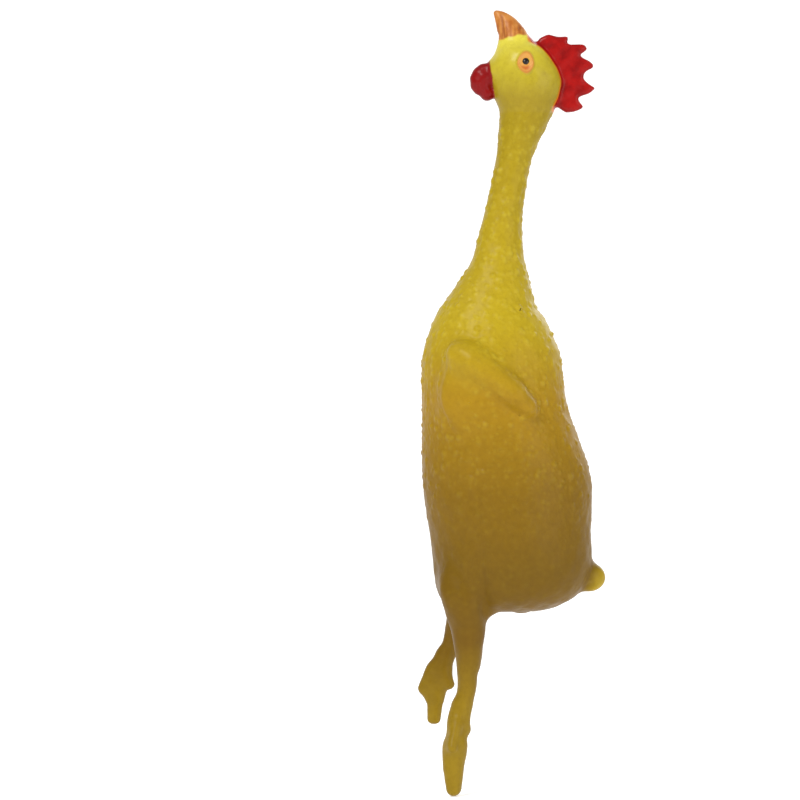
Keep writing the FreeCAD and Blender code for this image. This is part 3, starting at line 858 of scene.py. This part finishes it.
def make_eye(chicken, side, low_z, height):
    """The raised almond ring, painted round a domed pupil."""
    sign = SIDES[side]
    ring_low, ring_high = box(f"{side}_eye_ring")
    centre, half = (ring_low + ring_high) / 2, (ring_high - ring_low) / 2
    pupil = middle(f"{side}_pupil") + [0, 0, 0.35]
    turns = np.linspace(0, 2 * math.pi, EYE_SPOKES, endpoint=False)
    share = np.linspace(0.03, EYE_EDGE, EYE_ROWS)[:, None] * np.ones(EYE_SPOKES)
    # Round above, drawn to a point below and a little in front.
    wide = half[0] * (1 - 0.34 * np.clip(-np.sin(turns), 0, 1) ** 1.5)
    x = centre[0] + share * wide * np.cos(turns)
    z = centre[2] + share * half[2] * np.sin(turns)
    wobble = 1 + 0.05 * np.sin(3 * turns + 0.6)
    size = share * wobble
    rise = 0.40 * np.exp(-(((size - 0.80) / 0.17) ** 2)) + 0.12
    rise -= 0.55 * step_up(size, 1.02, EYE_EDGE)
    off = np.hypot(x - pupil[0], z - pupil[2])
    rise -= 0.10 * np.exp(-((off / 1.5) ** 2))
    y = sign * (head_side(chicken, x, z, sign) + rise)
    below = np.clip(-(z - centre[2] + 0.5) / half[2], 0, 1)
    masks = {
        "height": (z - low_z) / height,
        "ring": step_up(-size, -1.02, -0.80),
        "rim": np.exp(-(((size - 0.86) / 0.12) ** 2)) * (0.55 + 0.45 * below),
        "socket": step_up(-size, -0.78, -0.50) * step_up(below, 0.0, 0.35),
    }
    ring = disc_mesh(f"{side}_eye_ring_surface", x, y, z, masks, sign)

    radius = (box(f"{side}_pupil")[1] - box(f"{side}_pupil")[0])[0] / 2 * 1.04
    share = np.linspace(0.05, 1.0, 12)[:, None] * np.ones(EYE_SPOKES)
    x, z = pupil[0] + radius * share * np.cos(turns), pupil[2] + radius * share * np.sin(turns)
    base = head_side(chicken, x, z, sign)
    y = sign * (base + 0.60 * np.sqrt(np.clip(1 - share**2, 0, 1)) - 0.1)
    black = {"height": (z - low_z) / height, "pupil": np.ones_like(x)}
    dome = disc_mesh(f"{side}_pupil_surface", x, y, z, black, sign)
    for piece, slot, node in ((ring, "eye_paint", "eye_ring"), (dome, "pupil_paint", "pupil")):
        piece.data.materials.append(MATERIALS[slot])
        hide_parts(f"{side}_{node}")
        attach(piece, "head")


# ---------------------------------------------------------------- materials
class Nodes:
    """A short way to write a material's nodes."""

    def __init__(self, material):
        material.use_nodes = True
        self.tree = material.node_tree
        self.shader = self.tree.nodes["Principled BSDF"]

    def new(self, kind, **settings):
        node = self.tree.nodes.new(kind)
        for name, value in settings.items():
            setattr(node, name, value)
        return node

    def link(self, source, target):
        self.tree.links.new(source, target)

    def mask(self, name):
        return self.new("ShaderNodeAttribute", attribute_name=name).outputs["Fac"]

    def rest(self):
        return self.new("ShaderNodeAttribute", attribute_name="rest").outputs["Vector"]

    def noise(self, size_mm, detail=3.0, rough=0.55):
        """Noise whose blotches are about size_mm across, fixed to the rest shape."""
        node = self.new("ShaderNodeTexNoise")
        node.inputs["Scale"].default_value = 1.0 / (size_mm * MM)
        node.inputs["Detail"].default_value = detail
        node.inputs["Roughness"].default_value = rough
        self.link(self.rest(), node.inputs["Vector"])
        return node.outputs["Fac"]

    def mix(self, share, first, second, scale=1.0, mode="MIX"):
        """Colour second over first, by share times scale."""
        node = self.new("ShaderNodeMix", data_type="RGBA", blend_type=mode)
        self.link(self.sum(share, scale), node.inputs["Factor"])
        for value, socket in ((first, node.inputs[6]), (second, node.inputs[7])):
            if isinstance(value, tuple):
                socket.default_value = (*value, 1.0)
            else:
                self.link(value, socket)
        return node.outputs[2]

    def sum(self, value, times=1.0, plus=0.0):
        node = self.new("ShaderNodeMath", operation="MULTIPLY_ADD")
        self.link(value, node.inputs[0])
        node.inputs[1].default_value = times
        node.inputs[2].default_value = plus
        return node.outputs[0]

    def ramp(self, value, stops):
        node = self.new("ShaderNodeValToRGB")
        self.link(value, node.inputs["Fac"])
        elements = node.color_ramp.elements
        while len(elements) < len(stops):
            elements.new(0.5)
        for element, (place, colour) in zip(elements, stops):
            element.position = place
            element.color = (*colour, 1.0)
        return node.outputs["Color"]

    def band(self, value, low, high):
        """Black up to low, and white from high."""
        return self.ramp(value, [(low, (0.0,) * 3), (high, (1.0,) * 3)])


# Rubber's colour up the body, from the toes to the beak: partly the rubber's own tone and partly painted
# light and shade, with painted shadow darkest over the thighs and belly and painted light growing towards
# the crown.
RUBBER_WITH_PAINTED_SHADE = [
    (0.00, (0.28, 0.180, 0.008)),
    (0.10, (0.27, 0.170, 0.007)),
    (0.20, (0.155, 0.080, 0.003)),
    (0.28, (0.155, 0.083, 0.003)),
    (0.38, (0.205, 0.110, 0.004)),
    (0.50, (0.335, 0.190, 0.006)),
    (0.60, (0.43, 0.310, 0.010)),
    (0.78, (0.36, 0.255, 0.008)),
    (0.88, (0.31, 0.220, 0.007)),
    (0.93, (0.48, 0.390, 0.025)),
    (0.975, (0.74, 0.665, 0.080)),
]
BUMP_TINT = (0.56, 0.45, 0.04)
# Dark specks of the rubber; the same colour darkens the thigh creases as painted shade.
SPECK_AND_CREASE_SHADE_TINT = (0.15, 0.075, 0.004)
# A paler colour for the tail stands in for light falling on it from behind: painted light.
TAIL_PAINTED_LIGHT = (0.42, 0.29, 0.015)
COMB_RED, COMB_DARK = (0.33, 0.004, 0.003), (0.22, 0.002, 0.002)
WATTLE_RED = (0.21, 0.003, 0.004)
ROOT_ORANGE = (0.62, 0.17, 0.010)
# The beak's dark colour paints its streaks, and painted shade in its groove and nostrils.
BEAK_TAN, BEAK_EDGE, BEAK_STREAK_AND_GROOVE_SHADE = (0.40, 0.125, 0.020), (0.52, 0.21, 0.045), (0.20, 0.040, 0.006)
RING_PEACH, RIM_ORANGE = (0.62, 0.27, 0.065), (0.44, 0.12, 0.015)
SOCKET_ORANGE, PUPIL_BLACK = (0.42, 0.065, 0.008), (0.008, 0.004, 0.004)


def rubber_colour(n):
    """Mustard rubber, mottled, with paler goosebumps and dark specks, and painted light and shade up the
    body, on the tail and in the thigh creases.
    """
    height = n.mask("height")
    wander = n.sum(n.noise(16), 0.05, -0.025)
    place = n.new("ShaderNodeMath", operation="ADD")
    n.link(height, place.inputs[0])
    n.link(wander, place.inputs[1])
    # The ramp paints shade over the thighs and belly and light towards the crown, over the rubber's own
    # tone.
    colour = n.ramp(place.outputs[0], RUBBER_WITH_PAINTED_SHADE)
    blotch = n.band(n.noise(4.5, 5.0), 0.42, 0.68)
    colour = n.mix(blotch, colour, (0.80, 0.76, 0.60), 0.16, "MULTIPLY")
    colour = n.mix(n.mask("bump"), colour, BUMP_TINT, 0.45)
    # Painted light on the tail.
    colour = n.mix(n.mask("tail"), colour, TAIL_PAINTED_LIGHT, 0.9)
    streaks = n.band(n.noise(1.7, 3.0), 0.40, 0.66)
    colour = n.mix(streaks, colour, (0.74, 0.70, 0.55), 0.30, "MULTIPLY")
    fine = n.band(n.noise(0.9, 4.0), 0.56, 0.72)
    colour = n.mix(fine, colour, SPECK_AND_CREASE_SHADE_TINT, 0.16)
    colour = n.mix(n.mask("speck"), colour, SPECK_AND_CREASE_SHADE_TINT, 0.30)
    # Painted shade in the thigh creases.
    return n.mix(n.mask("crease"), colour, SPECK_AND_CREASE_SHADE_TINT, 0.25)


def painted_colour(n, colour):
    """Paint over the rubber: beak, eye ring, pupil, comb and wattle."""
    beak = n.ramp(n.noise(2.4, 4.0), [(0.35, BEAK_TAN), (0.65, BEAK_EDGE)])
    beak = n.mix(n.mask("streak"), beak, BEAK_STREAK_AND_GROOVE_SHADE, 0.45)
    # Painted shade in the mouth groove and the nostrils.
    beak = n.mix(n.mask("groove"), beak, BEAK_STREAK_AND_GROOVE_SHADE, 0.75)
    red = n.ramp(n.noise(3.2, 4.0), [(0.36, COMB_DARK), (0.60, COMB_RED)])
    dark_red = n.ramp(n.noise(2.6, 4.0), [(0.34, COMB_DARK), (0.62, WATTLE_RED)])
    colour = n.mix(n.mask("beak"), colour, beak)
    colour = n.mix(n.mask("ring"), colour, RING_PEACH, 0.85)
    colour = n.mix(n.mask("rim"), colour, RIM_ORANGE, 0.75)
    colour = n.mix(n.mask("socket"), colour, SOCKET_ORANGE, 0.80)
    colour = n.mix(n.mask("pupil"), colour, PUPIL_BLACK)
    # Where the comb's paint thins out it is orange, and then the rubber shows.
    thin = n.band(n.mask("comb"), 0.02, 0.30)
    full = n.band(n.mask("comb"), 0.35, 0.75)
    colour = n.mix(thin, colour, ROOT_ORANGE, 0.9)
    colour = n.mix(full, colour, red)
    return n.mix(n.mask("wattle"), colour, dark_red)


def skin_material(name, roughness, coat, coat_roughness, specular):
    """Moulded soft rubber with its paint. Each painted piece has its own gloss."""
    material = bpy.data.materials.new(name)
    n = Nodes(material)
    n.link(painted_colour(n, rubber_colour(n)), n.shader.inputs["Base Color"])
    n.link(n.sum(n.noise(1.6, 4.0), 0.20, roughness - 0.10), n.shader.inputs["Roughness"])
    grain = n.new("ShaderNodeBump")
    grain.inputs["Strength"].default_value = 0.30
    grain.inputs["Distance"].default_value = 0.25 * MM
    n.link(n.noise(0.9, 4.0), grain.inputs["Height"])
    n.link(grain.outputs["Normal"], n.shader.inputs["Normal"])
    n.shader.inputs["Specular IOR Level"].default_value = specular
    n.shader.inputs["Coat Weight"].default_value = coat
    n.shader.inputs["Coat Roughness"].default_value = coat_roughness
    return material


MATERIALS = {
    "body_rubber": skin_material("mustard_rubber", 0.42, 0.03, 0.28, 0.12),
    "head_rubber": skin_material("lemon_rubber", 0.34, 0.12, 0.18, 0.15),
    "plug_rubber": skin_material("plug_rubber", 0.48, 0.03, 0.35, 0.12),
    "beak_paint": skin_material("beak_paint", 0.38, 0.08, 0.20, 0.15),
    "comb_paint": skin_material("red_paint", 0.34, 0.08, 0.14, 0.12),
    "eye_paint": skin_material("eye_paint", 0.38, 0.10, 0.20, 0.15),
    "pupil_paint": skin_material("pupil_paint", 0.18, 0.25, 0.06, 0.3),
}


# ---------------------------------------------------------------- pieces on their bodies
def dress(skin, names, zone, slot, replaced, ride=None):
    """Cuts one piece out of the skin, and gives it its material and slot, and its body where it rides
    one.
    """
    piece = cut_piece(skin, names, zone, f"{zone}_surface")
    piece.data.materials.append(MATERIALS[slot])
    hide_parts(*replaced)
    if ride:
        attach(piece, ride)
    else:
        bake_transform(piece)
    return piece


def make_pieces(skin):
    names = zone_faces(skin)
    wing_side = np.where(skin.co[skin.quads].mean(1)[:, 1] < 0, "left_wing", "right_wing")
    on_wing = (skin.features[skin.quads] == "wing").sum(1) >= 3
    names[on_wing] = wing_side[on_wing]

    for side, sign in SIDES.items():
        inner = ["torso_skin", "torso_fill"] if side == "left" else []
        nodes = [*inner, f"{side}_flank", f"{side}_thigh"]
        dress(skin, names, f"body_{side}", "body_rubber", nodes)
        dress(skin, names, f"{side}_wing", "body_rubber", [f"{side}_wing"])

    neck = [
        ("neck_base", "torso", "neck_lower", "neck_bend", BEND),
        ("neck_stretch", "neck_lower", "neck_middle", "neck_sway", PULL),
        ("neck_sway", "neck_middle", "neck_upper", "neck_sway", SWAY),
        ("neck_twist", "neck_upper", "neck_top", "neck_twist", TWIST),
        ("neck_nape", "neck_top", "head", "head_nod", NOD),
    ]
    for zone, first, second, joint, (_, low, high, _) in neck:
        nodes = [] if second == "head" else [f"{second}_skin", f"{second}_fill"]
        dress(skin, names, zone, "body_rubber", nodes)

    dress(skin, names, "head", "head_rubber", ["head_skin", "head_fill"], ride="head")
    for part in ("upper_beak", "lower_beak"):
        dress(skin, names, part, "beak_paint", [part], ride="head")
    for side in SIDES:
        make_eye(skin.chicken, side, skin.low_z, skin.height)
    dress(skin, names, "plug", "plug_rubber", ["fill_plug"], ride="torso")

    dress(skin, names, "comb", "comb_paint", ["comb"])
    dress(skin, names, "wattle", "comb_paint", ["wattle"])
    dress(skin, names, "tail", "body_rubber", ["tail"])

    for side in SIDES:
        make_leg_pieces(skin, names, side)


def make_leg_pieces(skin, names, side):
    for i, zone in enumerate(("hip", "shank", "ankle")):
        dress(
            skin, names, f"{side}_{zone}", "body_rubber",
            [f"{side}_{('upper_leg', 'lower_leg', 'foot')[i]}"],
        )
    toes = [f"{side}_{toe}_toe" for toe in ("outer", "middle", "inner", "hind")]
    dress(skin, names, f"{side}_foot", "body_rubber", toes)


# ---------------------------------------------------------------- studio
def make_camera():
    """Level with the upper body, looking at the bird's left side, a little ahead of its breast."""
    low, high = (np.array(corner) for corner in cad_box)
    frame_width = (high - low)[2] * 1.026
    distance = 1.0
    data = bpy.data.cameras.new("camera")
    data.sensor_width = 36.0
    data.lens = data.sensor_width * distance / frame_width
    camera = in_scene("camera", data)
    camera.location = (-0.135 * (high - low)[2], -distance, (low[2] + high[2]) / 2)
    camera.rotation_euler = (math.pi / 2, 0, 0)
    bpy.context.scene.camera = camera


def make_floor():
    """A pale floor that curves up into a backdrop."""
    bottom = cad_box[0][2] - 0.0008
    half_width, front, back, rise, bend = 3.0, -2.5, 1.6, 2.6, 0.8
    turns = np.linspace(0, math.pi / 2, 13)
    profile = [(front, bottom), (back - bend, bottom)]
    profile += [
        (back - bend + bend * math.sin(t), bottom + bend * (1 - math.cos(t))) for t in turns[1:]
    ]
    profile.append((back, bottom + rise))
    points = [(x, y, z) for y, z in profile for x in (-half_width, half_width)]
    faces = [(2 * i, 2 * i + 1, 2 * i + 3, 2 * i + 2) for i in range(len(profile) - 1)]
    mesh = bpy.data.meshes.new("floor")
    mesh.from_pydata(points, [], faces)
    mesh.shade_smooth()
    floor = in_scene("floor", mesh)
    material = bpy.data.materials.new("pale_floor")
    material.use_nodes = True
    shader = material.node_tree.nodes["Principled BSDF"]
    shader.inputs["Base Color"].default_value = (0.93, 0.93, 0.93, 1.0)
    shader.inputs["Roughness"].default_value = 0.9
    shader.inputs["Emission Color"].default_value = (1.0, 1.0, 1.0, 1.0)
    shader.inputs["Emission Strength"].default_value = 0.35
    mesh.materials.append(material)


def area_light(name, place, size, power, aim):
    data = bpy.data.lights.new(name, "AREA")
    data.shape = "SQUARE"
    data.size = size
    data.energy = power
    light = in_scene(name, data)
    light.location = place
    direction = Vector(aim) - Vector(place)
    light.rotation_euler = direction.to_track_quat("-Z", "Y").to_euler()


def make_lights():
    world = bpy.data.worlds.new("studio")
    world.use_nodes = True
    background = world.node_tree.nodes["Background"]
    background.inputs["Color"].default_value = (1.0, 1.0, 1.0, 1.0)
    background.inputs["Strength"].default_value = 0.42
    bpy.context.scene.world = world
    area_light("key", (-0.60, -0.95, 1.00), 0.6, 15.0, (0, 0, 0.03))
    area_light("fill", (0.95, -0.9, 0.25), 0.9, 6.0, (0, 0, 0))
    area_light("rim", (0.6, 0.8, 0.5), 0.6, 3.0, (0, 0, 0.0))


# ---------------------------------------------------------------- the scene
def main():
    skin = Skin(Chicken())
    make_pieces(skin)
    for thing in list(bpy.context.scene.objects):
        if thing.type == "MESH" and thing.name.endswith("_surface"):
            co = np.empty(len(thing.data.vertices) * 3, np.float32)
            thing.data.vertices.foreach_get("co", co)
            thing.data.attributes.new("rest", "FLOAT_VECTOR", "POINT").data.foreach_set("vector", co)
    make_camera()
    make_floor()
    make_lights()
    bpy.context.scene.view_settings.view_transform = "Standard"


main()
